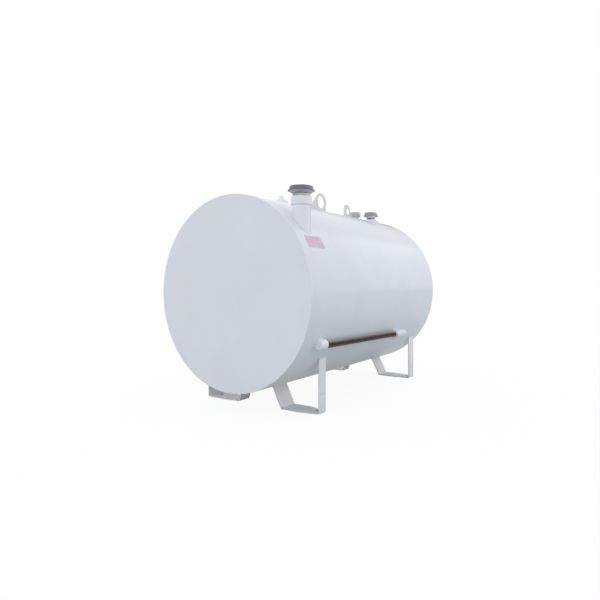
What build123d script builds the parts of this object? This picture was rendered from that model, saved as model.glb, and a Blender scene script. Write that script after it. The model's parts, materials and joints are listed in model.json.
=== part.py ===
from build123d import *
import os
from math import copysign, cos, radians, sin, sqrt, tan

# Sizes in millimetres
# The tank lies along X. Its front head faces -X, and the side with the riser and the bar faces -Y.
# A place is a distance from the front head's face, and a setback one from the rear head's face.
# A crown angle is measured round the shell from its highest line towards -Y, the right side.

# Shell and heads
tank_diameter = 1270.0
tank_length = 1905.0
shell_wall = 4.8
head_thickness = 6.4
head_edge_radius = 2.5
floor_clearance = 136.0

# Clearances
seat_gap = 0.2
thread_gap = 0.3

# Legs, each a plate bent to an open U with a wide strut and a narrow one
leg_plate = 8.0
leg_bend_radius = 9.0
leg_front_place = 285.0
leg_rear_setback = 190.0
foot_width = 146.0
foot_side_setback = 149.0
foot_length = 290.0
foot_taper_length = 138.0
foot_hole_diameter = 22.0
foot_hole_inset = 57.0
foot_hole_place = 84.0
front_right_leg = dict(narrow_side="outer", narrow_width=75.0, narrow_inset=19.0, inner_lean=27.5)
rear_right_leg = dict(narrow_side="outer", narrow_width=96.0, narrow_inset=3.0, inner_lean=27.5)
left_leg = dict(narrow_side="inner", narrow_width=104.0, narrow_inset=14.0, inner_lean=20.0)

# Lifting lugs on the crown
lug_plate = 8.0
lug_rear_setback = 483.0
lug_spacing = 298.0
front_lug = dict(
    height=160.0, base_length=250.0, crown_radius=71.0, eye_inset=71.0, eye_drop=71.0, eye_diameter=102.0
)
rear_lug = dict(
    height=121.0, base_length=150.0, crown_radius=46.0, eye_inset=63.0, eye_drop=59.0, eye_diameter=56.0
)

# Riser near the front head
riser_place = 145.0
riser_crown_angle = 46.2
riser_diameter = 114.3
riser_wall = 6.0
riser_coupling_diameter = 127.0
riser_coupling_height = 52.0
riser_rise = 158.0
riser_pipe_insertion = 24.0
coupling_edge = 2.5

# Vent on the riser
riser_vent = dict(
    neck_radius=53.5,
    throat_radius=78.0,
    base_height=33.0,
    neck_height=15.0,
    spigot_depth=18.0,
    bore_radius=46.0,
    lip_radius=83.0,
    lip_height=4.0,
    side_radius=74.0,
    shoulder_height=11.0,
    crown_radius=71.0,
    cap_height=29.0,
)

# Plugged coupling in front
plug_to_lug = 339.0  # from its middle to the foot of the front lug's slope
plug_coupling_diameter = 98.0
plug_coupling_height = 29.0
plug_coupling_wall = 7.0
plug_thread_depth = 26.0
plug_collar_height = 6.0
plug_square = 30.0
plug_square_height = 28.0
plug_edge = 3.0

# Filler with a ribbed cap at the rear
filler_setback = 178.0
filler_crown_angle = -5.2
filler_flange = dict(base_radius=60.0, neck_radius=37.0, cone_height=9.0, height=20.0)
filler_pipe_diameter = 60.3
filler_pipe_wall = 3.9
filler_pipe_height = 69.0
filler_cap_diameter = 92.0
filler_cap_height = 43.0
filler_cap_cover = 24.0
filler_cap_ribs = 16
filler_cap_groove = 5.0
filler_cap_edge = 3.0

# Small vent at the rear
rear_vent_setback = 178.0
rear_vent_crown_angle = 9.3
rear_vent_flange = dict(base_radius=75.0, neck_radius=44.5, cone_height=9.0, height=16.0)
rear_vent_thread_radius = 26.0
rear_vent = dict(
    neck_radius=31.0,
    throat_radius=47.0,
    base_height=31.0,
    neck_height=4.0,
    spigot_depth=10.0,
    bore_radius=22.0,
    lip_radius=65.0,
    lip_height=5.0,
    side_radius=59.0,
    shoulder_height=13.0,
    crown_radius=54.0,
    cap_height=34.0,
)

# Bar along the side, held in two sleeves
bar_diameter = 33.4
bar_wall = 3.4
bar_front_angle = 208.3
bar_rear_angle = 210.7
bar_insertion = 50.0
bar_gap = 8.4
sleeve_wall = 15.0
sleeve_clearance = 0.4
sleeve_end_wall = 8.0
sleeve_front_place = 145.0
sleeve_front_length = 70.0
sleeve_front_lift = 10.0
sleeve_rear_setback = 495.0
sleeve_rear_length = 172.0

# Sizes worked out from those above
tank_radius = tank_diameter / 2
foot_to_axis = tank_radius + floor_clearance
foot_outer_reach = tank_radius - foot_side_setback
foot_inner_reach = foot_outer_reach - foot_length
front_face = -tank_length / 2
leg_rear_place = tank_length - leg_rear_setback
lug_rear_place = tank_length - lug_rear_setback
lug_front_place = lug_rear_place - lug_spacing
plug_place = lug_front_place - front_lug["base_length"] - plug_to_lug
filler_place = tank_length - filler_setback
rear_vent_place = tank_length - rear_vent_setback
inner_radius = tank_radius - shell_wall
seat_radius = tank_radius + seat_gap
sleeve_inner_radius = bar_diameter / 2 + sleeve_clearance
sleeve_radius = sleeve_inner_radius + sleeve_wall
bar_centre_radius = seat_radius + bar_gap + bar_diameter / 2
sleeve_rear_place = tank_length - sleeve_rear_setback - sleeve_rear_length

nodes = {}


def crown_offset(angle):
    """Y of the point on the shell's outside at a crown angle."""
    return -tank_radius * sin(radians(angle))


def along(place):
    """X of a place measured from the front head."""
    return front_face + place


def crown_height(offset):
    """Height of the shell's outside above the floor at a distance from its crown line."""
    return foot_to_axis + sqrt(tank_radius**2 - offset**2)


def axial_cylinder(radius, length):
    """A cylinder on the tank's own axis."""
    return Pos(0, 0, foot_to_axis) * Rot(0, 90, 0) * Cylinder(radius, length)


def upright(radius, low, high, place, offset):
    """A vertical cylinder between two heights above the floor."""
    centre = Pos(along(place), offset, (low + high) / 2)
    return centre * Cylinder(radius, high - low)


def turned(outline, place, offset, base):
    """A solid turned about a vertical line from (radius, height) points."""
    face = make_face(Polyline(*[(r, 0, z) for r, z in outline], close=True))
    return Pos(along(place), offset, base) * revolve(face, Axis.Z)


def shell_seat(solid):
    """Cuts a piece so that it sits on the outside of the shell."""
    return solid - axial_cylinder(seat_radius, tank_length)


riser_offset = crown_offset(riser_crown_angle)
riser_top = crown_height(riser_offset) + riser_rise
filler_offset = crown_offset(filler_crown_angle)
rear_vent_offset = crown_offset(rear_vent_crown_angle)
rear_vent_top = crown_height(rear_vent_offset) + rear_vent_flange["height"]


# Shell and heads
def make_shell():
    length = tank_length - 2 * head_thickness
    shell = axial_cylinder(tank_radius, length) - axial_cylinder(inner_radius, length)
    openings = [
        (riser_diameter / 2 - riser_wall, riser_place, riser_offset),
        (plug_coupling_diameter / 2 - plug_coupling_wall, plug_place, 0),
        (filler_pipe_diameter / 2 - filler_pipe_wall, filler_place, filler_offset),
        (rear_vent["bore_radius"], rear_vent_place, rear_vent_offset),
    ]
    for radius, place, offset in openings:
        shell -= upright(radius, foot_to_axis, foot_to_axis + tank_diameter, place, offset)
    return shell


def make_head(side):
    head = Rot(0, 90, 0) * Cylinder(tank_radius, head_thickness)
    outer_edge = head.edges().filter_by(GeomType.CIRCLE).sort_by(Axis.X)[0]
    head = fillet(outer_edge, head_edge_radius)
    if side > 0:
        head = Rot(0, 0, 180) * head
    return Pos(side * (tank_length - head_thickness) / 2, 0, foot_to_axis) * head


nodes["shell"] = make_shell()
nodes["front_head"] = make_head(-1)
nodes["rear_head"] = make_head(1)


# Legs
def taper_waste(foot_side, strut_side, narrow_end, inward):
    """What is cut from one side of a leg, where its foot narrows to its narrow strut."""
    taper_start = narrow_end + inward * foot_taper_length
    taper_end = narrow_end + inward * (leg_plate + leg_bend_radius)
    beyond = narrow_end - inward * foot_outer_reach
    outside = foot_side + (foot_side - strut_side)
    outline = Polyline(
        (foot_side, taper_start),
        (strut_side, taper_end),
        (strut_side, beyond),
        (outside, beyond),
        (outside, taper_start),
        close=True,
    )
    return extrude(make_face(outline), amount=foot_to_axis)


def make_leg(place, form):
    middle = leg_plate / 2
    top = foot_to_axis / 2
    outer_line = -foot_outer_reach + middle
    inner_top = -foot_inner_reach + (top - middle) * tan(radians(form["inner_lean"]))
    line = FilletPolyline(
        (inner_top, top),
        (-foot_inner_reach, middle),
        (outer_line, middle),
        (outer_line, foot_to_axis),
        radius=leg_bend_radius,
    )
    section = Plane.YZ.offset(along(place)) * trace(line, line_width=leg_plate)
    leg = extrude(section, amount=foot_width)
    strut_front = along(place) + form["narrow_inset"]
    strut_rear = strut_front + form["narrow_width"]
    foot_front = along(place)
    foot_rear = foot_front + foot_width
    if form["narrow_side"] == "outer":
        narrow_end, inward = -foot_outer_reach, 1
    else:
        narrow_end, inward = -foot_inner_reach, -1
    for foot_side, strut_side in ((foot_front, strut_front), (foot_rear, strut_rear)):
        leg -= taper_waste(foot_side, strut_side, narrow_end, inward)
    hole_reach = foot_outer_reach - foot_hole_inset
    leg -= upright(foot_hole_diameter / 2, 0, leg_plate, place + foot_hole_place, -hole_reach)
    return shell_seat(leg)


legs = (("front", leg_front_place, front_right_leg), ("rear", leg_rear_place, rear_right_leg))
for end, place, right_leg in legs:
    nodes[f"leg_{end}_right"] = make_leg(place, right_leg)
    nodes[f"leg_{end}_left"] = mirror(make_leg(place, left_leg), Plane.XZ)


# Lifting lugs
def make_lug(lug, place, slope):
    """The upright side stands at the place, and the sloping side runs from there towards slope."""
    radius = lug["crown_radius"]
    crown = Pos(slope * radius, lug["height"] - radius) * Circle(radius)
    foot = Line((0, 0), (slope * lug["base_length"], 0))
    outline = make_hull(crown.edges() + foot.edges())
    # On a low plate the crown would reach below the foot, so it is cut off level there
    outline -= Pos(0, -radius) * Rectangle(2 * (lug["base_length"] + 2 * radius), 2 * radius)
    outline -= Pos(slope * lug["eye_inset"], lug["height"] - lug["eye_drop"]) * Circle(lug["eye_diameter"] / 2)
    base = foot_to_axis + seat_radius
    plane = Plane((along(place), lug_plate / 2, base), x_dir=(1, 0, 0), z_dir=(0, -1, 0))
    return extrude(plane * outline, amount=lug_plate)


nodes["lifting_lug_front"] = make_lug(front_lug, lug_front_place, -1)
nodes["lifting_lug_rear"] = make_lug(rear_lug, lug_rear_place, 1)


# Vents
def make_vent_base(vent, place, offset, base, spigot):
    neck = vent["neck_radius"]
    outline = [
        (vent["bore_radius"], -vent["spigot_depth"]),
        (spigot, -vent["spigot_depth"]),
        (spigot, 0),
        (neck, 0),
        (neck, vent["neck_height"]),
        (vent["throat_radius"], vent["base_height"]),
        (vent["bore_radius"], vent["base_height"]),
    ]
    return turned(outline, place, offset, base)


def make_vent_cap(vent, place, offset, base):
    outline = [
        (0, 0),
        (vent["lip_radius"], 0),
        (vent["lip_radius"], vent["lip_height"]),
        (vent["side_radius"], vent["shoulder_height"]),
        (vent["crown_radius"], vent["cap_height"]),
        (0, vent["cap_height"]),
    ]
    cap = turned(outline, place, offset, base + vent["base_height"])
    top_edge = cap.edges().filter_by(GeomType.CIRCLE).sort_by(Axis.Z)[-1]
    return fillet(top_edge, vent["lip_height"])


# Riser with its coupling and vent
def make_riser_pipe():
    top = riser_top - riser_coupling_height + riser_pipe_insertion
    outer = upright(riser_diameter / 2, foot_to_axis, top, riser_place, riser_offset)
    bore = upright(riser_diameter / 2 - riser_wall, foot_to_axis, top, riser_place, riser_offset)
    return shell_seat(outer - bore)


def make_riser_coupling():
    low = riser_top - riser_coupling_height
    coupling = upright(riser_coupling_diameter / 2, low, riser_top, riser_place, riser_offset)
    coupling = chamfer(coupling.edges().filter_by(GeomType.CIRCLE), coupling_edge)
    socket = riser_diameter / 2 + thread_gap
    return coupling - upright(socket, low, riser_top, riser_place, riser_offset)


nodes["riser_pipe"] = make_riser_pipe()
nodes["riser_coupling"] = make_riser_coupling()
nodes["riser_vent_base"] = make_vent_base(
    riser_vent, riser_place, riser_offset, riser_top, riser_diameter / 2
)
nodes["riser_vent_cap"] = make_vent_cap(riser_vent, riser_place, riser_offset, riser_top)


# Plugged coupling
def make_plug_coupling():
    top = foot_to_axis + tank_radius + plug_coupling_height
    radius = plug_coupling_diameter / 2
    coupling = upright(radius, foot_to_axis, top, plug_place, 0)
    top_edge = coupling.edges().filter_by(GeomType.CIRCLE).sort_by(Axis.Z)[-1]
    coupling = chamfer(top_edge, coupling_edge)
    bore = upright(radius - plug_coupling_wall, foot_to_axis, top, plug_place, 0)
    return shell_seat(coupling - bore)


def make_plug():
    top = foot_to_axis + tank_radius + plug_coupling_height
    thread_radius = plug_coupling_diameter / 2 - plug_coupling_wall - thread_gap
    plug = upright(thread_radius, top - plug_thread_depth, top + plug_collar_height, plug_place, 0)
    square = Pos(along(plug_place), 0, top + plug_collar_height) * Box(
        plug_square, plug_square, plug_square_height, align=(Align.CENTER, Align.CENTER, Align.MIN)
    )
    square = chamfer(square.edges().filter_by(Axis.Z), plug_edge)
    square = chamfer(square.faces().sort_by(Axis.Z)[-1].edges(), plug_edge / 2)
    return plug + square


nodes["plug_coupling"] = make_plug_coupling()
nodes["plug"] = make_plug()


# Flanges welded on the crown at the rear
def make_flange(flange, place, offset, bore_radius):
    base = crown_height(offset)
    outline = [
        (0, -flange["base_radius"]),
        (flange["base_radius"], -flange["base_radius"]),
        (flange["base_radius"], 0),
        (flange["neck_radius"], flange["cone_height"]),
        (flange["neck_radius"], flange["height"]),
        (0, flange["height"]),
    ]
    body = turned(outline, place, offset, base)
    body -= upright(bore_radius, foot_to_axis, base + flange["height"], place, offset)
    return shell_seat(body)


def make_filler_pipe():
    low = crown_height(filler_offset)
    radius = filler_pipe_diameter / 2
    high = low + filler_pipe_height
    outer = upright(radius, foot_to_axis, high, filler_place, filler_offset)
    bore = upright(radius - filler_pipe_wall, foot_to_axis, high, filler_place, filler_offset)
    return shell_seat(outer - bore)


def make_filler_cap():
    low = crown_height(filler_offset) + filler_pipe_height - filler_cap_cover
    radius = filler_cap_diameter / 2
    high = low + filler_cap_height
    cap = upright(radius, low, high, filler_place, filler_offset)
    cap = chamfer(cap.edges().filter_by(GeomType.CIRCLE), filler_cap_edge)
    for rib in range(filler_cap_ribs):
        angle = radians(rib * 360 / filler_cap_ribs)
        groove = upright(filler_cap_groove / 2, low, high, filler_place, filler_offset)
        cap -= Pos(radius * cos(angle), radius * sin(angle)) * groove
    socket = filler_pipe_diameter / 2 + thread_gap
    return cap - upright(socket, low, low + filler_cap_cover + seat_gap, filler_place, filler_offset)


nodes["filler_flange"] = make_flange(
    filler_flange, filler_place, filler_offset, filler_pipe_diameter / 2 + thread_gap
)
nodes["filler_pipe"] = make_filler_pipe()
nodes["filler_cap"] = make_filler_cap()

nodes["rear_vent_flange"] = make_flange(
    rear_vent_flange, rear_vent_place, rear_vent_offset, rear_vent_thread_radius + thread_gap
)
nodes["rear_vent_base"] = make_vent_base(
    rear_vent, rear_vent_place, rear_vent_offset, rear_vent_top, rear_vent_thread_radius
)
nodes["rear_vent_cap"] = make_vent_cap(rear_vent, rear_vent_place, rear_vent_offset, rear_vent_top)


# Side bar and its sleeves
def sleeve_middle(place, length, angle):
    """The middle of a sleeve that lies against the shell at an angle measured from +Y."""
    y = bar_centre_radius * cos(radians(angle))
    z = foot_to_axis + bar_centre_radius * sin(radians(angle))
    return Vector(along(place + length / 2), y, z)


front_middle = sleeve_middle(sleeve_front_place, sleeve_front_length, bar_front_angle)
rear_middle = sleeve_middle(sleeve_rear_place, sleeve_rear_length, bar_rear_angle)
bar_run = rear_middle - front_middle
bar_plane = Plane(front_middle, z_dir=bar_run)


def side_tube(outer_radius, bore_radius, start, end):
    """A tube on the bar's own line, between two distances from the front sleeve's middle."""
    centre = bar_plane * Pos(0, 0, (start + end) / 2)
    return centre * (Cylinder(outer_radius, end - start) - Cylinder(bore_radius, end - start))


def make_sleeve(closed_end, open_end, lift):
    """A sleeve with a rounded closed end, and a bore for the bar from its open end, at the bar's own height."""
    middle = (closed_end + open_end) / 2
    length = abs(open_end - closed_end)
    bore_end = closed_end + copysign(sleeve_end_wall, open_end - closed_end)
    body = Cylinder(sleeve_radius, length)
    rims = body.edges().filter_by(GeomType.CIRCLE).sort_by(Axis.Z)
    body = fillet(rims[0 if closed_end < open_end else -1], sleeve_end_wall)
    bore = bar_plane * Pos(0, 0, (bore_end + open_end) / 2)
    bore = bore * Cylinder(sleeve_inner_radius, abs(open_end - bore_end))
    return shell_seat(Pos(0, 0, lift) * (bar_plane * Pos(0, 0, middle) * body) - bore)


half_front = sleeve_front_length / 2
rear_start = bar_run.length - sleeve_rear_length / 2
nodes["side_bar"] = side_tube(
    bar_diameter / 2, bar_diameter / 2 - bar_wall, half_front - bar_insertion, rear_start + bar_insertion
)
nodes["bar_sleeve_front"] = make_sleeve(-half_front, half_front, sleeve_front_lift)
nodes["bar_sleeve_rear"] = make_sleeve(rear_start + sleeve_rear_length, rear_start, 0)

os.makedirs("parts", exist_ok=True)
for name, solid in nodes.items():
    solid.label = name
    export_step(solid, f"parts/{name}.step")
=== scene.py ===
import json
import math
import random

import bmesh
import bpy
from mathutils import Matrix, Vector


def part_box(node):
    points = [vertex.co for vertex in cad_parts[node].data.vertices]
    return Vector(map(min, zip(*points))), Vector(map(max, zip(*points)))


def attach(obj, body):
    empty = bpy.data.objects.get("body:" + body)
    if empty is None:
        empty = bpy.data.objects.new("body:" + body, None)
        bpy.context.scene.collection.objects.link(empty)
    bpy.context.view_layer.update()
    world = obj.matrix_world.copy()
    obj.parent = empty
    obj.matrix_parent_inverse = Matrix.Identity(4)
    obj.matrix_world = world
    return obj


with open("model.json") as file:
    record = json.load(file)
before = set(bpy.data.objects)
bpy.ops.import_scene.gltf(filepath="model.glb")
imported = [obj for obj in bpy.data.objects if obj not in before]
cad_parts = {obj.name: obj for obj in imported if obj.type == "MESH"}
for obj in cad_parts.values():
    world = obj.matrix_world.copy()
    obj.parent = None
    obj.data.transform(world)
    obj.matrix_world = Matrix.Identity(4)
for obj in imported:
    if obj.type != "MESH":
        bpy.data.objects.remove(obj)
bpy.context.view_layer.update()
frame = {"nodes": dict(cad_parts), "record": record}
nodes = frame["nodes"]
print("frame loaded,", len(nodes), "nodes")

# Measures that the pieces below share, read off the CAD nodes, in metres
shellLow, shellHigh = (Vector(corner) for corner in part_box("shell"))
shellRadius = (shellHigh.y - shellLow.y) / 2
axisHeight = (shellHigh.z + shellLow.z) / 2
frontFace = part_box("front_head")[0][0]
legCorners = ("front_right", "front_left", "rear_right", "rear_left")

# A Mix node's colour sockets share their names with others, so they go by number: the factor, the
# two colours and the result
mixFactor, mixFrom, mixTo, mixResult = 0, 6, 7, 2


def nodeCentre(name):
    low, high = (Vector(corner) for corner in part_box(name))
    return (low + high) / 2


def nodeSize(name):
    low, high = (Vector(corner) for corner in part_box(name))
    return high - low


def toLinear(hexCode):  # sRGB hex to the linear colour that shaders read
    channels = [int(hexCode[i:i + 2], 16) / 255 for i in (1, 3, 5)]
    linear = [c / 12.92 if c <= 0.04045 else ((c + 0.055) / 1.055) ** 2.4 for c in channels]
    return (*linear, 1)


# Adds one shader node with its settings. Its inputs come by name or number, or as a row in the
# node's own order, and each is either another node's socket to link or a value to set.
def addNode(tree, kind, inputs=(), **settings):
    node = tree.nodes.new("ShaderNode" + kind)
    for name, value in settings.items():
        setattr(node, name, value)
    for key, value in inputs.items() if isinstance(inputs, dict) else enumerate(inputs):
        if isinstance(value, bpy.types.NodeSocket):
            tree.links.new(value, node.inputs[key])
        else:
            node.inputs[key].default_value = value
    return node


def newMaterial(name):
    material = bpy.data.materials.new(name)
    material.use_nodes = True
    material.node_tree.nodes.clear()
    return material


# In the looks below, a row of four numbers maps a pattern: from and to on the pattern, then what
# each of those two gives.

# Gloss alkyd enamel, sprayed on primed steel plate. It gives the eye a wet-looking pale skin whose
# reflections waver a little with the rolled plate, with fine orange peel and faint rain streaks.
enamelLook = {
    # Past the first, the coats are the same enamel in paler and darker copies, set part by part to
    # how bright each part shows under the light: painted light and shade. The fresh coat is one of
    # these paler copies.
    "coats": {  # full film, thin film and rain streak
        "sprayed": ("#E9EDF1", "#E3E8EC", "#D6D9D8"),
        "fresh": ("#F0F3F6", "#EBEEF1", "#DEE0DF"),
        "litPaler": ("#F7F9F9", "#F0F3F4", "#E4E6E4"),
        "litPalest": ("#F8F8F6", "#F2F2EF", "#E6E7E3"),
        "shadedDarker": ("#DFDDDB", "#D7D5D2", "#C9C6C2"),
    },
    "cloudSize": 0.30,
    "thinning": (0.35, 0.7, 0.0, 0.8),  # clouds of thin film
    "streakWidth": 0.035,
    "streakLength": 0.7,
    "streaking": (0.55, 0.85, 0.0, 0.3),
    "splash": "#D0D7CE",  # dust that rain throws up from the pad
    "splashing": (0.0, 0.16, 0.4, 0.0),  # up from the floor
    "speckSize": 0.02,
    "specking": (0.4, 0.7, 0.2, 1.0),
    "glossing": (0.3, 0.7, 0.13, 0.24),  # roughness where the film is full and thin
    "dustDulls": 1.0,  # roughness that the splashed dust adds, times its share
    "plateWave": 0.32,
    "plateWaveDepth": 0.0016,
    "peelSize": 0.010,  # real orange peel is about 2 mm, drawn coarser so that it shows
    "peelDepth": 0.00006,
    "ior": 1.5,
}


def glossEnamel(name, coat):
    look = enamelLook
    fullFilm, thinFilm, rainMark = (toLinear(code) for code in look["coats"][coat])
    material = newMaterial(name)
    tree = material.node_tree
    place = addNode(tree, "TexCoord").outputs["Object"]
    cloud = addNode(tree, "TexNoise", {
        "Vector": place, "Scale": 1 / look["cloudSize"], "Detail": 4.0}).outputs["Fac"]
    cloudAmount = addNode(tree, "MapRange", (cloud, *look["thinning"])).outputs["Result"]
    film = addNode(tree, "Mix", {
        mixFactor: cloudAmount, mixFrom: fullFilm, mixTo: thinFilm}, data_type="RGBA")
    runScale = (1 / look["streakWidth"], 1 / look["streakLength"], 1 / look["streakLength"])
    run = addNode(tree, "Mapping", {"Vector": place, "Scale": runScale}).outputs["Vector"]
    streak = addNode(tree, "TexNoise", {"Vector": run, "Scale": 1.0, "Detail": 3.0}).outputs["Fac"]
    streakAmount = addNode(tree, "MapRange", (streak, *look["streaking"])).outputs["Result"]
    rained = addNode(tree, "Mix", {
        mixFactor: streakAmount, mixFrom: film.outputs[mixResult], mixTo: rainMark},
        data_type="RGBA")
    height = addNode(tree, "SeparateXYZ", (place,)).outputs["Z"]
    low = addNode(tree, "MapRange", (height, *look["splashing"])).outputs["Result"]
    speck = addNode(tree, "TexNoise", {
        "Vector": place, "Scale": 1 / look["speckSize"], "Detail": 5.0, "Roughness": 0.7})
    speckAmount = addNode(tree, "MapRange", (speck.outputs["Fac"], *look["specking"]))
    splash = addNode(tree, "Math", (low, speckAmount.outputs["Result"]), operation="MULTIPLY")
    colour = addNode(tree, "Mix", {
        mixFactor: splash.outputs["Value"], mixFrom: rained.outputs[mixResult],
        mixTo: toLinear(look["splash"])}, data_type="RGBA")
    gloss = addNode(tree, "MapRange", (cloud, *look["glossing"])).outputs["Result"]
    dusty = addNode(  # the feet's dust dulls them
        tree, "Math", (low, look["dustDulls"], gloss), operation="MULTIPLY_ADD")
    wave = addNode(tree, "TexNoise", {
        "Vector": place, "Scale": 1 / look["plateWave"], "Detail": 1.0}).outputs["Fac"]
    waved = addNode(tree, "Bump", {"Height": wave, "Distance": look["plateWaveDepth"]})
    peel = addNode(tree, "TexNoise", {
        "Vector": place, "Scale": 1 / look["peelSize"], "Detail": 2.0}).outputs["Fac"]
    peeled = addNode(tree, "Bump", {
        "Height": peel, "Distance": look["peelDepth"], "Normal": waved.outputs["Normal"]})
    shader = addNode(tree, "BsdfPrincipled", {
        "Base Color": colour.outputs[mixResult], "Roughness": dusty.outputs["Value"],
        "IOR": look["ior"], "Normal": peeled.outputs["Normal"]})
    addNode(tree, "OutputMaterial", {"Surface": shader.outputs["BSDF"]})
    return material


# Sand-cast aluminium, left bare and weathered outdoors. It gives the eye a dull grey, darkest on
# the large vent's cap, with the mould's grain, chalky pale blooms, dirt in the grain, and painted
# shade in corners and recesses.
castLook = {
    # The tones are one bare casting in darker and paler copies, set part by part to how bright each
    # part shows under the light: painted light and shade.
    "tones": {  # metal, bloom and dirt
        "darkest": ("#7E7C81", "#9A999D", "#59585D"),
        "middling": ("#9C9EA2", "#B5B7BA", "#76787C"),
        "bright": ("#C2C4C8", "#D3D5D7", "#9C9EA2"),
        "palest": ("#DCDDE0", "#E6E7E9", "#B4B5B9"),
    },
    "bloomSize": 0.03,
    "blooming": (0.5, 0.75, 0.0, 0.8),
    "grainSize": 0.004,  # mould sand is under 1 mm, drawn coarser so that it shows
    "grainDepth": 0.00035,
    "pitting": (0.3, 0.5, 0.7, 0.0),
    # Painted shade: a dark colour laid where the AO node finds a corner or recess
    "cornerShade": "#3A3B3D",
    "cornerShadeReach": 0.030,  # painted shade reaches this far out of a corner
    "cornerShadeSamples": 8,
    "cornerShading": (0.45, 0.78, 0.95, 0.0),  # painted shade, by how open a spot is
    "roughening": (0.3, 0.7, 0.42, 0.62),  # blooms are rougher
}


def castAluminium(name, tone):
    look = castLook
    metal, pale, dirt = (toLinear(code) for code in look["tones"][tone])
    material = newMaterial(name)
    tree = material.node_tree
    place = addNode(tree, "TexCoord").outputs["Object"]
    bloom = addNode(tree, "TexNoise", {
        "Vector": place, "Scale": 1 / look["bloomSize"], "Detail": 5.0}).outputs["Fac"]
    bloomAmount = addNode(tree, "MapRange", (bloom, *look["blooming"])).outputs["Result"]
    bloomed = addNode(tree, "Mix", {
        mixFactor: bloomAmount, mixFrom: metal, mixTo: pale}, data_type="RGBA")
    grain = addNode(tree, "TexNoise", {
        "Vector": place, "Scale": 1 / look["grainSize"], "Detail": 3.0}).outputs["Fac"]
    pitAmount = addNode(tree, "MapRange", (grain, *look["pitting"])).outputs["Result"]
    pitted = addNode(tree, "Mix", {
        mixFactor: pitAmount, mixFrom: bloomed.outputs[mixResult], mixTo: dirt}, data_type="RGBA")
    # Painted shade, darkest in corners and recesses
    airy = addNode(
        tree, "AmbientOcclusion", {"Distance": look["cornerShadeReach"]}, samples=look["cornerShadeSamples"])
    cornerShadeAmount = addNode(tree, "MapRange", (airy.outputs["AO"], *look["cornerShading"]))
    cornerShaded = addNode(tree, "Mix", {
        mixFactor: cornerShadeAmount.outputs["Result"], mixFrom: pitted.outputs[mixResult],
        mixTo: toLinear(look["cornerShade"])}, data_type="RGBA")
    rough = addNode(tree, "MapRange", (bloom, *look["roughening"])).outputs["Result"]
    sand = addNode(tree, "Bump", {"Height": grain, "Distance": look["grainDepth"]})
    shader = addNode(tree, "BsdfPrincipled", {
        "Base Color": cornerShaded.outputs[mixResult], "Metallic": 1.0, "Roughness": rough,
        "Normal": sand.outputs["Normal"]})
    addNode(tree, "OutputMaterial", {"Surface": shader.outputs["BSDF"]})
    return material


# Hot-rolled steel pipe with its mill scale on, paler on top and rusting where water hangs under it;
# the paler top is partly dust and partly a painted sheen of the sky. It gives the eye a brown-black
# side between that grey top and a matt brown underside.
barLook = {
    "scale": "#171313",
    "dustAndSheen": "#77706B",
    "rust": "#6A4833",
    "freshRust": "#84593F",
    "hanging": (0.25, -0.45, 0.0, 1.0),  # by how far a spot faces up
    "patchSize": 0.03,
    "patchStretch": (0.35, 1.0, 1.0),
    "patchSpread": (1.2, -0.6),  # the pattern times the first, plus the second
    "rusting": (0.2, 0.75, 0.0, 1.0),
    "dustAndSheenSpread": (0.55, 0.95, 0.0, 0.8),
    "pitSize": 0.006,
    "pitDepth": 0.0004,
    "roughening": (0.0, 1.0, 0.6, 0.9),  # rust is rougher
    "sheen": 0.2,  # weathered scale shines less than a smooth dielectric does
}


def rustedPipe():
    look = barLook
    material = newMaterial("rustedPipe")
    tree = material.node_tree
    place = addNode(tree, "TexCoord").outputs["Object"]
    facing = addNode(tree, "NewGeometry").outputs["Normal"]
    upward = addNode(tree, "SeparateXYZ", (facing,)).outputs["Z"]
    under = addNode(tree, "MapRange", (upward, *look["hanging"])).outputs["Result"]
    stretch = addNode(tree, "Mapping", {"Vector": place, "Scale": look["patchStretch"]})
    patch = addNode(tree, "TexNoise", {
        "Vector": stretch.outputs["Vector"], "Scale": 1 / look["patchSize"], "Detail": 6.0,
        "Roughness": 0.65}).outputs["Fac"]
    spread = addNode(
        tree, "Math", (patch, *look["patchSpread"]), operation="MULTIPLY_ADD").outputs["Value"]
    hung = addNode(tree, "Math", (under, spread), operation="ADD").outputs["Value"]
    rusted = addNode(tree, "MapRange", (hung, *look["rusting"])).outputs["Result"]
    fresh = addNode(tree, "TexNoise", {
        "Vector": place, "Scale": 1 / look["pitSize"], "Detail": 4.0}).outputs["Fac"]
    rust = addNode(tree, "Mix", {
        mixFactor: fresh, mixFrom: toLinear(look["rust"]), mixTo: toLinear(look["freshRust"])},
        data_type="RGBA")
    # Paler on top: partly dust, partly a painted sheen of the sky
    topped = addNode(tree, "Math", (upward, spread), operation="ADD").outputs["Value"]
    dustedAndSheened = addNode(tree, "MapRange", (topped, *look["dustAndSheenSpread"])).outputs["Result"]
    bare = addNode(tree, "Mix", {
        mixFactor: dustedAndSheened, mixFrom: toLinear(look["scale"]), mixTo: toLinear(look["dustAndSheen"])},
        data_type="RGBA")
    colour = addNode(tree, "Mix", {
        mixFactor: rusted, mixFrom: bare.outputs[mixResult], mixTo: rust.outputs[mixResult]},
        data_type="RGBA")
    rough = addNode(tree, "MapRange", (rusted, *look["roughening"])).outputs["Result"]
    pits = addNode(tree, "Bump", {"Height": fresh, "Distance": look["pitDepth"]})
    shader = addNode(tree, "BsdfPrincipled", {
        "Base Color": colour.outputs[mixResult], "Roughness": rough,
        "Specular IOR Level": look["sheen"], "Normal": pits.outputs["Normal"]})
    addNode(tree, "OutputMaterial", {"Surface": shader.outputs["BSDF"]})
    return material


# Calendered vinyl sheet with a printed field, stuck on the shell and faded by the sun. It gives the
# eye a smooth chalky pink, paler where it has bleached, with a satin sheen.
labelLook = {
    "field": "#D8B4C6",
    "bleached": "#E2C9D6",
    "border": "#EEF1F3",
    "bleachSize": 0.05,
    "bleaching": (0.35, 0.7, 0.0, 1.0),  # to how much of the bleached colour
    "rippleDepth": 0.0003,
    "roughness": 0.38,
    "ior": 1.53,
}


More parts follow.
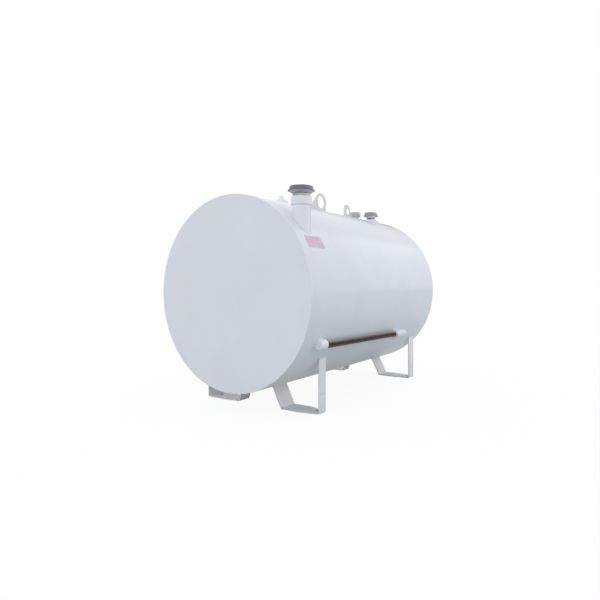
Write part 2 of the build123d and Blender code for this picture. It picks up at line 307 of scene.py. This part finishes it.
def printedVinyl(name, inkHex, bleachedHex):
    look = labelLook
    material = newMaterial(name)
    tree = material.node_tree
    place = addNode(tree, "TexCoord").outputs["Object"]
    fade = addNode(tree, "TexNoise", {
        "Vector": place, "Scale": 1 / look["bleachSize"], "Detail": 3.0}).outputs["Fac"]
    fadeAmount = addNode(tree, "MapRange", (fade, *look["bleaching"])).outputs["Result"]
    colour = addNode(tree, "Mix", {
        mixFactor: fadeAmount, mixFrom: toLinear(inkHex), mixTo: toLinear(bleachedHex)},
        data_type="RGBA")
    ripple = addNode(tree, "Bump", {"Height": fade, "Distance": look["rippleDepth"]})
    shader = addNode(tree, "BsdfPrincipled", {
        "Base Color": colour.outputs[mixResult], "Roughness": look["roughness"],
        "IOR": look["ior"], "Normal": ripple.outputs["Normal"]})
    addNode(tree, "OutputMaterial", {"Surface": shader.outputs["BSDF"]})
    return material


enamels = {coat: glossEnamel("glossEnamel" + coat.title(), coat) for coat in enamelLook["coats"]}
castings = {tone: castAluminium("castAluminium" + tone.title(), tone) for tone in castLook["tones"]}
pipeSteel = rustedPipe()
labelInk = printedVinyl("printedVinylField", labelLook["field"], labelLook["bleached"])
labelEdge = printedVinyl("printedVinylBorder", labelLook["border"], labelLook["border"])
finishBySlot = {
    "white_paint": enamels["litPaler"],
    "cast_grey": castings["palest"],
    "bar_steel": pipeSteel,
}
finishByNode = {  # where a node differs from its slot; most are paler and darker copies of one finish, which are painted light and shade
    "shell": enamels["sprayed"],
    "front_head": enamels["fresh"],
    "rear_head": enamels["fresh"],
    "lifting_lug_front": enamels["shadedDarker"],
    "lifting_lug_rear": enamels["shadedDarker"],
    "bar_sleeve_front": enamels["fresh"],
    "bar_sleeve_rear": enamels["sprayed"],
    "riser_vent_cap": castings["darkest"],
    "riser_vent_base": castings["bright"],
    "rear_vent_cap": castings["middling"],
    "filler_cap": castings["bright"],
}
finishByNode |= {"leg_" + corner: enamels["litPalest"] for corner in legCorners}
for part in frame["record"]["subparts"]:
    for materialSlot in nodes[part["node"]].material_slots:
        materialSlot.material = finishByNode.get(part["node"], finishBySlot[part["material_slot"]])
print("materials made")


def finishPiece(name, mesh, materials):  # puts a finished mesh in the scene
    for material in materials:
        mesh.materials.append(material)
    piece = bpy.data.objects.new(name, mesh)
    bpy.context.scene.collection.objects.link(piece)
    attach(piece, "root")
    return piece


# Weld beads, painted over with the rest
weldLook = {
    "beads": {  # radius and seed
        "fittings": (0.0035, 3),
        "legs": (0.0045, 5),
        "lugs": (0.0055, 9),
        "sleeves": (0.004, 13),
    },
    "ripple": 0.13,  # how much the bead's width pulses along it
    "rippleStep": 0.005,
    "rippleShare": (0.3, 1.0),  # a pulse is at least and at most this much of the ripple
    "roundness": 2,  # bevel resolution
}


def onShell(y, side=1):  # height of the shell's outside at y, on its top (1) or underside (-1)
    return axisHeight + side * math.sqrt(shellRadius**2 - y * y)


def spaced(start, end):  # points along a straight run, a ripple step apart
    start, end = Vector(start), Vector(end)
    count = max(2, int((end - start).length / weldLook["rippleStep"]) + 1)
    return [start.lerp(end, i / (count - 1)) for i in range(count)]


# A ring round an upright pipe, which lies on the shell where no height is given
def ringPath(centreX, centreY, radius, height=None):
    count = int(2 * math.pi * radius / weldLook["rippleStep"])
    path = []
    for i in range(count):
        turn = 2 * math.pi * i / count
        x, y = centreX + radius * math.cos(turn), centreY + radius * math.sin(turn)
        path.append(Vector((x, y, onShell(y) if height is None else height)))
    return path


def weldBeads(kind, runs):  # runs are (points, closed)
    name = "weld_" + kind
    beadRadius, seed = weldLook["beads"][kind]
    shake = random.Random(seed)
    line = bpy.data.curves.new(name, "CURVE")
    line.dimensions = "3D"
    line.bevel_depth = beadRadius
    line.bevel_resolution = weldLook["roundness"]
    line.use_fill_caps = True
    for points, closed in runs:
        spline = line.splines.new("POLY")
        spline.points.add(len(points) - 1)
        for i, point in enumerate(points):
            spline.points[i].co = (*point, 1)
            pulse = weldLook["ripple"] if i % 2 else -weldLook["ripple"]
            spline.points[i].radius = 1 + pulse * shake.uniform(*weldLook["rippleShare"])
        spline.use_cyclic_u = closed
    carrier = bpy.data.objects.new(name + "Line", line)
    mesh = bpy.data.meshes.new_from_object(carrier)
    bpy.data.objects.remove(carrier)
    mesh.materials.clear()
    bm = bmesh.new()
    bm.from_mesh(mesh)
    bmesh.ops.recalc_face_normals(bm, faces=bm.faces)
    bm.to_mesh(mesh)
    bm.free()
    mesh.polygons.foreach_set("use_smooth", [True] * len(mesh.polygons))
    mesh.name = name
    return finishPiece(name, mesh, [enamels["sprayed"]])


def fittingRuns():
    runs = []
    for name in ("riser_pipe", "plug_coupling", "filler_flange", "rear_vent_flange"):
        centre = nodeCentre(name)
        size = nodeSize(name)
        radius = size.y / 2 if name in ("riser_pipe", "plug_coupling") else size.x / 2
        runs.append((ringPath(centre.x, centre.y, radius), True))
    riser, pipe = nodeCentre("riser_coupling"), nodeSize("riser_pipe")
    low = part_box("riser_coupling")[0][2]
    runs.append((ringPath(riser.x, riser.y, pipe.y / 2, low), True))
    return runs


weldBeads("fittings", fittingRuns())

legLook = {
    "plate": 0.008,
    "innerReach": 0.196,  # from the tank's middle to an inner strut's middle, at the floor
    "leans": {"right": 27.5, "left": 20.0},  # of the inner struts, in degrees
    "outerStruts": {"front_right": (0.019, 0.075), "rear_right": (0.003, 0.096)},  # inset and width
    "innerStruts": {"front_left": (0.014, 0.104), "rear_left": (0.014, 0.104)},
    "wholeWidth": (0.0, 0.146),
    "climb": 0.0005,  # step by which a strut is followed up to the shell
}


def meetsShell(reach, lean):  # where a plate face that leans in from reach comes up to the shell
    height = 0.0
    while height < onShell(reach - height * lean, -1):
        height += legLook["climb"]
    return reach - height * lean, height


def legRuns():
    look = legLook
    runs = []
    for corner in legCorners:
        side = corner.split("_")[1]
        sign = 1 if side == "left" else -1
        low, high = (Vector(c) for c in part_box("leg_" + corner))
        outer = max(abs(low.y), abs(high.y))
        inset, width = look["outerStruts"].get(corner, look["wholeWidth"])
        for reach in (outer, outer - look["plate"]):
            start = (low.x + inset, sign * reach, onShell(reach, -1))
            runs.append((spaced(start, (start[0] + width, *start[1:])), False))
        inset, width = look["innerStruts"].get(corner, look["wholeWidth"])
        lean = math.tan(math.radians(look["leans"][side]))
        halfThick = look["plate"] / 2 / math.cos(math.radians(look["leans"][side]))
        for shift in (-halfThick, halfThick):
            reach, z = meetsShell(look["innerReach"] + look["plate"] / 2 * lean + shift, lean)
            start = (low.x + inset, sign * reach, z)
            runs.append((spaced(start, (start[0] + width, *start[1:])), False))
    return runs


weldBeads("legs", legRuns())


def lugRuns():
    runs = []
    for name in ("lifting_lug_front", "lifting_lug_rear"):
        low, high = (Vector(corner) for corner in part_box(name))
        z = axisHeight + shellRadius
        corners = [(low.x, low.y, z), (high.x, low.y, z), (high.x, high.y, z), (low.x, high.y, z)]
        path = []
        for a, b in zip(corners, corners[1:] + corners[:1]):
            path += spaced(a, b)[:-1]
        runs.append((path, True))
    return runs


weldBeads("lugs", lugRuns())

sleeveLook = {
    "radius": 0.0321,
    "barRadius": 0.0167,
    "lifts": {"bar_sleeve_front": 0.010, "bar_sleeve_rear": 0.0},  # of their middles over the bar's
    "endGap": 0.012,
}


def sleeveRuns():  # the two lines where each sleeve meets the shell
    runs = []
    low, high = (Vector(corner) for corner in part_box("side_bar"))
    radius = sleeveLook["barRadius"]
    barFront = Vector((low.x, low.y + radius, high.z - radius))
    barRear = Vector((high.x, high.y - radius, low.z + radius))
    for name, lift in sleeveLook["lifts"].items():
        sleeveLow, sleeveHigh = (Vector(corner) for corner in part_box(name))
        for turn in (-1, 1):
            line = []
            for x in (sleeveLow.x + sleeveLook["endGap"], sleeveHigh.x - sleeveLook["endGap"]):
                middle = barFront.lerp(barRear, (x - low.x) / (high.x - low.x))
                reach = Vector((0, middle.y, middle.z + lift - axisHeight))
                # how far round the shell from the sleeve's middle the two circles cross
                cross = reach.length_squared + shellRadius**2 - sleeveLook["radius"]**2
                angle = math.acos(cross / (2 * reach.length * shellRadius))
                outward = reach.normalized() * shellRadius
                spot = Matrix.Rotation(turn * angle, 3, "X") @ outward
                line.append(Vector((x, spot.y, spot.z + axisHeight)))
            runs.append((spaced(*line), False))
    return runs


weldBeads("sleeves", sleeveRuns())
print("weld beads made")

# Dark walls in the feet's bolt holes, in the rusted pipe's look: painted shade for the shade seen
# down the holes
holeLook = {
    "inset": 0.057,  # from the foot's outer side
    "place": 0.084,  # from its front edge
    "radius": 0.0108,
    "height": 0.0076,
    "lift": 0.0002,  # clear of the floor
    "segments": 32,
}


def makeHoleShadeWalls():
    look = holeLook
    bm = bmesh.new()
    for corner in legCorners:
        low, high = (Vector(c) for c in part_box("leg_" + corner))
        y = high.y - look["inset"] if corner.endswith("left") else low.y + look["inset"]
        spot = Matrix.Translation((low.x + look["place"], y, look["height"] / 2 + look["lift"]))
        bmesh.ops.create_cone(
            bm, segments=look["segments"], radius1=look["radius"], radius2=look["radius"],
            depth=look["height"], matrix=spot)
    bmesh.ops.reverse_faces(bm, faces=bm.faces)
    mesh = bpy.data.meshes.new("foot_hole_shade_walls")
    bm.to_mesh(mesh)
    bm.free()
    mesh.polygons.foreach_set("use_smooth", [True] * len(mesh.polygons))
    return finishPiece("foot_hole_shade_walls", mesh, [pipeSteel])


makeHoleShadeWalls()
print("hole walls made")

# The placard near the front head, left plain: a pale border round a pink field
placardLook = {
    "start": 0.073,  # from the front head
    "length": 0.168,
    "angleLow": 146.2,  # round the shell from +Y, through the top
    "angleHigh": 153.7,
    "border": 0.009,
    "cornerRadius": 0.008,
    "cornerSegments": 5,
    "thickness": 0.0006,
    "cuts": 14,  # strips that let it bend round the shell
}


def makePlacard():
    look = placardLook
    height = shellRadius * math.radians(look["angleHigh"] - look["angleLow"])
    bm = bmesh.new()
    bmesh.ops.create_grid(bm, x_segments=1, y_segments=1, size=0.5)
    bmesh.ops.scale(bm, vec=(look["length"], height, 1), verts=bm.verts)
    bmesh.ops.bevel(
        bm, geom=bm.verts[:], offset=look["cornerRadius"], segments=look["cornerSegments"],
        profile=0.5, affect="VERTICES", material=-1)
    bmesh.ops.inset_region(
        bm, faces=bm.faces[:], thickness=look["border"], use_even_offset=True)
    field = max(bm.faces, key=lambda face: len(face.verts))
    field.material_index = 1
    for cut in range(1, look["cuts"]):
        bmesh.ops.bisect_plane(
            bm, geom=bm.verts[:] + bm.edges[:] + bm.faces[:],
            plane_co=(0, height * (cut / look["cuts"] - 0.5), 0), plane_no=(0, 1, 0))
    bmesh.ops.triangulate(bm, faces=bm.faces[:])
    bmesh.ops.recalc_face_normals(bm, faces=bm.faces)
    top = bmesh.ops.extrude_face_region(bm, geom=bm.faces[:])["geom"]
    lifted = [item for item in top if isinstance(item, bmesh.types.BMVert)]
    bmesh.ops.translate(bm, vec=(0, 0, look["thickness"]), verts=lifted)
    middle = math.radians((look["angleLow"] + look["angleHigh"]) / 2)
    middleX = frontFace + look["start"] + look["length"] / 2
    for vert in bm.verts:
        angle = middle + vert.co.y / shellRadius
        reach = shellRadius + vert.co.z
        y, z = reach * math.cos(angle), axisHeight + reach * math.sin(angle)
        vert.co = Vector((middleX + vert.co.x, y, z))
    bmesh.ops.recalc_face_normals(bm, faces=bm.faces)
    mesh = bpy.data.meshes.new("placard")
    bm.to_mesh(mesh)
    bm.free()
    return finishPiece("placard", mesh, [labelEdge, labelInk])


makePlacard()
print("placard made")

# Floor, lamps, reflected card and world
studioLook = {
    "white": "#FFFFFF",
    "floorSize": 60.0,
    "bounceTone": "#B9C1BF",  # of the floor as it lights the tank
    "selfLight": (2.5, 6.0, 0.93, 1.0),  # by distance, the share of the floor that glows white
    "glossShare": (0.9, 3.2, 0.35, 1.0),  # by distance, the share of white that gloss sees in it
    "sky": (0.0, 1.0, 1.2, 0.75),  # strength from the horizon up to overhead
    "skyTint": "#F5F6FF",
    "sunStrength": 0.15,
    "sunAngle": 50.0,
    "sunFrom": (-0.35, 0.45, 0.82),
    "wallPower": 99.0,
    "wallSize": (9.0, 7.0),
    "wallCentre": (3.9, -4.1, 4.32),
    "wallTarget": (0.2, -0.6, 4.32),
    "cardTones": ("#5C5E60", "#FFFFFF"),  # at its lower and upper fade
    "cardUp": (0.0, -0.2, 1.0),  # it pales this way, between the two measures of the fade
    "cardFade": (2.1, 4.4, 0.0, 1.0),
    "cardSize": (8.2, 6.0),
    "cardCentre": (8.0, 1.4, 3.0),
}


def seenBy(tree, *rays):  # 1 for rays of any of these kinds
    path = addNode(tree, "LightPath")
    amount = path.outputs[rays[0]]
    for ray in rays[1:]:
        either = addNode(tree, "Math", (amount, path.outputs[ray]), operation="MAXIMUM")
        amount = either.outputs["Value"]
    return amount


def makeFloor():
    look = studioLook
    bm = bmesh.new()
    bmesh.ops.create_grid(bm, x_segments=1, y_segments=1, size=look["floorSize"] / 2)
    mesh = bpy.data.meshes.new("floor")
    bm.to_mesh(mesh)
    bm.free()
    floor = bpy.data.objects.new("floor", mesh)
    bpy.context.scene.collection.objects.link(floor)
    material = newMaterial("floorPaper")
    tree = material.node_tree
    plain = seenBy(tree, "Is Camera Ray", "Is Transmission Ray")
    gloss = seenBy(tree, "Is Glossy Ray")
    white = toLinear(look["white"])
    bounce = addNode(tree, "BsdfDiffuse", {"Color": toLinear(look["bounceTone"])}).outputs["BSDF"]
    shown = addNode(tree, "BsdfDiffuse", {"Color": white}).outputs["BSDF"]
    glow = addNode(tree, "Emission", {"Color": white, "Strength": 1.0}).outputs["Emission"]
    place = addNode(tree, "TexCoord").outputs["Object"]
    distance = addNode(tree, "VectorMath", (place,), operation="LENGTH").outputs["Value"]
    share = addNode(
        tree, "MapRange", (distance, *look["selfLight"]), interpolation_type="SMOOTHSTEP")
    paper = addNode(tree, "MixShader", (share.outputs["Result"], shown, glow)).outputs["Shader"]
    mirrored = addNode(
        tree, "MapRange", (distance, *look["glossShare"]), interpolation_type="SMOOTHSTEP")
    inGloss = addNode(tree, "Math", (gloss, mirrored.outputs["Result"]), operation="MULTIPLY")
    amount = addNode(tree, "Math", (plain, inGloss.outputs["Value"]), operation="MAXIMUM")
    surface = addNode(tree, "MixShader", (amount.outputs["Value"], bounce, paper))
    addNode(tree, "OutputMaterial", {"Surface": surface.outputs["Shader"]})
    mesh.materials.append(material)


def aimAt(thing, start, target):
    turned = (Vector(target) - Vector(start)).to_track_quat("-Z", "Y").to_matrix().to_4x4()
    thing.matrix_world = Matrix.Translation(start) @ turned


def makeLamps():
    look = studioLook
    sunData = bpy.data.lights.new("skyGlow", "SUN")
    sunData.energy = look["sunStrength"]
    sunData.angle = math.radians(look["sunAngle"])
    sun = bpy.data.objects.new("skyGlow", sunData)
    bpy.context.scene.collection.objects.link(sun)
    aimAt(sun, look["sunFrom"], (0, 0, 0))
    wallData = bpy.data.lights.new("softWall", "AREA")
    wallData.shape = "RECTANGLE"
    wallData.size, wallData.size_y = look["wallSize"]
    wallData.energy = look["wallPower"]
    wall = bpy.data.objects.new("softWall", wallData)
    bpy.context.scene.collection.objects.link(wall)
    wall.visible_camera = False
    wall.visible_diffuse = False  # it only shows as the bright upper half of the reflections
    aimAt(wall, look["wallCentre"], look["wallTarget"])


# A card behind the tank that only reflections show, which gives the top edge its grey line
def makeCard():
    look = studioLook
    bm = bmesh.new()
    bmesh.ops.create_grid(bm, x_segments=1, y_segments=1, size=0.5)
    bmesh.ops.scale(bm, vec=(*look["cardSize"], 1), verts=bm.verts)
    mesh = bpy.data.meshes.new("darkCard")
    bm.to_mesh(mesh)
    bm.free()
    card = bpy.data.objects.new("darkCard", mesh)
    bpy.context.scene.collection.objects.link(card)
    aimAt(card, look["cardCentre"], (0, *look["cardCentre"][1:]))
    card.visible_camera = card.visible_diffuse = False
    card.visible_shadow = card.visible_transmission = False
    material = newMaterial("darkCardPaper")
    tree = material.node_tree
    spot = addNode(tree, "NewGeometry").outputs["Position"]
    height = addNode(tree, "VectorMath", (spot, look["cardUp"]), operation="DOT_PRODUCT")
    fade = addNode(tree, "MapRange", (height.outputs["Value"], *look["cardFade"]))
    dark, pale = (toLinear(code) for code in look["cardTones"])
    tone = addNode(tree, "Mix", {
        mixFactor: fade.outputs["Result"], mixFrom: dark, mixTo: pale}, data_type="RGBA")
    shine = addNode(tree, "Emission", {"Color": tone.outputs[mixResult], "Strength": 1.0})
    addNode(tree, "OutputMaterial", {"Surface": shine.outputs["Emission"]})
    mesh.materials.append(material)


def makeWorld():
    look = studioLook
    world = bpy.data.worlds.new("studio")
    world.use_nodes = True
    bpy.context.scene.world = world
    tree = world.node_tree
    tree.nodes.clear()
    plain = seenBy(tree, "Is Camera Ray", "Is Glossy Ray", "Is Transmission Ray")
    direction = addNode(tree, "TexCoord").outputs["Generated"]
    upward = addNode(tree, "SeparateXYZ", (direction,)).outputs["Z"]
    strength = addNode(tree, "MapRange", (upward, *look["sky"])).outputs["Result"]
    sky = addNode(tree, "Background", {"Color": toLinear(look["skyTint"]), "Strength": strength})
    white = addNode(tree, "Background", {"Color": toLinear(look["white"]), "Strength": 1.0})
    mixed = addNode(
        tree, "MixShader", (plain, sky.outputs["Background"], white.outputs["Background"]))
    addNode(tree, "OutputWorld", {"Surface": mixed.outputs["Shader"]})


makeFloor()
makeLamps()
makeCard()
makeWorld()

# Camera at the photograph's viewpoint
cameraLook = {
    "spot": (-3.27, -2.231, 0.855),
    "heading": 32.656,  # degrees from +X towards +Y
    "tilt": -0.379,
    "roll": 0.049,
    "lens": 29.751,
    "sensor": 36.0,
    "shift": (-0.0468, -0.0266),
    "clipEnd": 200.0,
}


def makeCamera():
    look = cameraLook
    data = bpy.data.cameras.new("photoView")
    data.lens = look["lens"]
    data.sensor_width = look["sensor"]
    data.shift_x, data.shift_y = look["shift"]
    data.clip_end = look["clipEnd"]
    camera = bpy.data.objects.new("photoView", data)
    bpy.context.scene.collection.objects.link(camera)
    heading, tilt = math.radians(look["heading"]), math.radians(look["tilt"])
    level = math.cos(tilt)
    ahead = Vector((math.cos(heading) * level, math.sin(heading) * level, math.sin(tilt)))
    turned = ahead.to_track_quat("-Z", "Y").to_matrix().to_4x4()
    rolled = Matrix.Rotation(math.radians(look["roll"]), 4, "Z")
    camera.matrix_world = Matrix.Translation(look["spot"]) @ turned @ rolled
    bpy.context.scene.camera = camera


makeCamera()
bpy.context.scene.view_settings.view_transform = "Standard"
print("studio and camera made")
